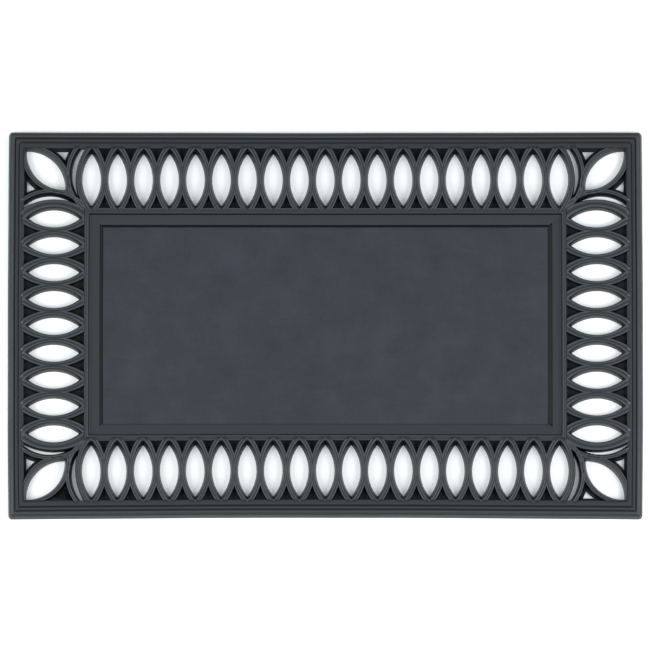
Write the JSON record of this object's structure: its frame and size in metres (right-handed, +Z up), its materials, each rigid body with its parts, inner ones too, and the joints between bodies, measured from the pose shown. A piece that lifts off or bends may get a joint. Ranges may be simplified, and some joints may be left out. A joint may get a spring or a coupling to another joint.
{
  "type": "door mat tray",
  "caption": "Openwork black rubber door mat: lens-ring border, leaf corners, stepped rim and a shallow recess for a loose insert mat.",
  "frame": {"origin": "middle of the underside, on the floor that the mat lies on", "axes": "+X along the long side, to the right seen from the front; +Y to the back long edge; +Z up, out of the tread side"},
  "size_m": [0.762, 0.472, 0.012],
  "materials": {
    "rim_rubber": "satin, moulded",
    "openwork_rubber": "satin, moulded",
    "pocket_rubber": "matt, moulded",
    "inner_rail_rubber": "satin, moulded",
    "ledge_rubber": "satin, fine moulded grain",
    "panel_rubber": "matt, mottled moulded grain",
    "stud_rubber": "matt, moulded"
  },
  "bodies": {
    "root": {"corner_arc_back_left_column": "openwork_rubber", "corner_arc_back_left_row": "openwork_rubber", "corner_arc_back_right_column": "openwork_rubber", "corner_arc_back_right_row": "openwork_rubber", "corner_arc_front_left_column": "openwork_rubber", "corner_arc_front_left_row": "openwork_rubber", "corner_arc_front_right_column": "openwork_rubber", "corner_arc_front_right_row": "openwork_rubber", "corner_leaf_back_left": "openwork_rubber", "corner_leaf_back_right": "openwork_rubber", "corner_leaf_front_left": "openwork_rubber", "corner_leaf_front_right": "openwork_rubber", "corner_pockets_back_left": "pocket_rubber", "corner_pockets_back_right": "pocket_rubber", "corner_pockets_front_left": "pocket_rubber", "corner_pockets_front_right": "pocket_rubber", "grip_studs": "stud_rubber", "inner_rail_back": "inner_rail_rubber", "inner_rail_front": "inner_rail_rubber", "inner_rail_left": "inner_rail_rubber", "inner_rail_right": "inner_rail_rubber", "insert_ledge_back": "ledge_rubber", "insert_ledge_front": "ledge_rubber", "insert_ledge_left": "ledge_rubber", "insert_ledge_right": "ledge_rubber", "lens_rings_back": "openwork_rubber", "lens_rings_front": "openwork_rubber", "lens_rings_left": "openwork_rubber", "lens_rings_right": "openwork_rubber", "pocket_floors_back": "pocket_rubber", "pocket_floors_front": "pocket_rubber", "pocket_floors_left": "pocket_rubber", "pocket_floors_right": "pocket_rubber", "recess_panel": "panel_rubber", "rim_rail_back": "rim_rubber", "rim_rail_front": "rim_rubber", "rim_rail_left": "rim_rubber", "rim_rail_right": "rim_rubber"}
  },
  "joints": []
}
